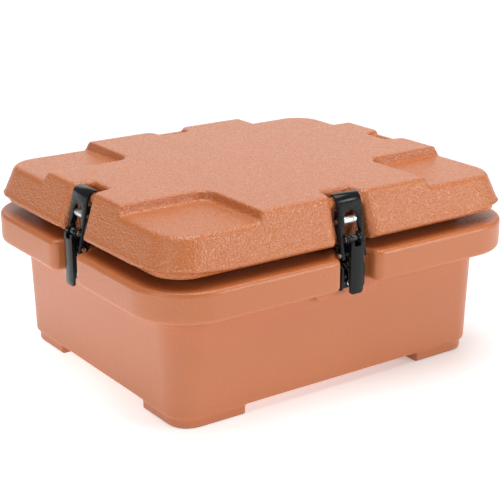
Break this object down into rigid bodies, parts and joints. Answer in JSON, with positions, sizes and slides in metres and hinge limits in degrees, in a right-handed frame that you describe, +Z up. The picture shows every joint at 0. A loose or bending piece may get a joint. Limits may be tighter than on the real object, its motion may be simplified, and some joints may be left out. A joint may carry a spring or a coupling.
{
  "type": "insulated food carrier",
  "caption": "Top-loading double-walled box for one half-size food pan, with a lift-off lid held by over-centre draw latches.",
  "frame": {"origin": "on the ground under the middle of the box", "axes": "+X along the long side, -Y out of the front, +Z up"},
  "size_m": [0.42, 0.357, 0.1958],
  "materials": {
    "moulded_polyethylene": "satin, fine pebbled grain",
    "insulation_foam": "matte rigid foam",
    "black_latch_steel": "black satin coating",
    "bright_steel": "bright plated",
    "spring_steel": "dark oiled",
    "brass": "machined"
  },
  "bodies": {
    "box": {"body_shell": "moulded_polyethylene", "body_foam_core": "insulation_foam", "front_latch_base": "black_latch_steel", "front_base_screws": "bright_steel", "front_threaded_inserts": "brass", "front_lever_pivot_pin": "bright_steel", "front_lever_spring": "spring_steel", "left_latch_base": "black_latch_steel", "left_base_screws": "bright_steel", "left_threaded_inserts": "brass", "left_lever_pivot_pin": "bright_steel", "left_lever_spring": "spring_steel"},
    "lid": {"lid_shell": "moulded_polyethylene", "lid_foam_core": "insulation_foam"},
    "front_lever_body": {"front_lever": "black_latch_steel", "front_hook_pivot_pin": "bright_steel"},
    "front_hook_body": {"front_hook": "black_latch_steel", "front_cross_pin": "bright_steel", "front_roller": "bright_steel", "front_roller_washer": "bright_steel"},
    "left_lever_body": {"left_lever": "black_latch_steel", "left_hook_pivot_pin": "bright_steel"},
    "left_hook_body": {"left_hook": "black_latch_steel", "left_cross_pin": "bright_steel", "left_roller": "bright_steel", "left_roller_washer": "bright_steel"}
  },
  "joints": [
    {"name": "lid_lift", "type": "slide", "parent": "box", "child": "lid", "axis": [0, 0, 1], "range_m": [0, 0.028]},
    {"name": "front_lever_swing", "type": "hinge", "parent": "box", "child": "front_lever_body", "pos_m": [0, -0.1661, 0.1557], "axis": [-1, 0, 0], "range_deg": [0, 100]},
    {"name": "front_hook_swing", "type": "hinge", "parent": "front_lever_body", "child": "front_hook_body", "pos_m": [0, -0.1643, 0.141], "axis": [1, 0, 0], "range_deg": [0, 162]},
    {"name": "left_lever_swing", "type": "hinge", "parent": "box", "child": "left_lever_body", "pos_m": [-0.1976, 0, 0.1557], "axis": [0, 1, 0], "range_deg": [0, 100]},
    {"name": "left_hook_swing", "type": "hinge", "parent": "left_lever_body", "child": "left_hook_body", "pos_m": [-0.1958, 0, 0.141], "axis": [0, -1, 0], "range_deg": [0, 162]}
  ],
  "couplings": [
    {"joint": "front_lever_swing", "follows": "lid_lift", "rad_per_m": 62.323},
    {"joint": "front_hook_swing", "follows": "lid_lift", "rad_per_m": 100.97},
    {"joint": "left_lever_swing", "follows": "lid_lift", "rad_per_m": 62.323},
    {"joint": "left_hook_swing", "follows": "lid_lift", "rad_per_m": 100.97}
  ]
}
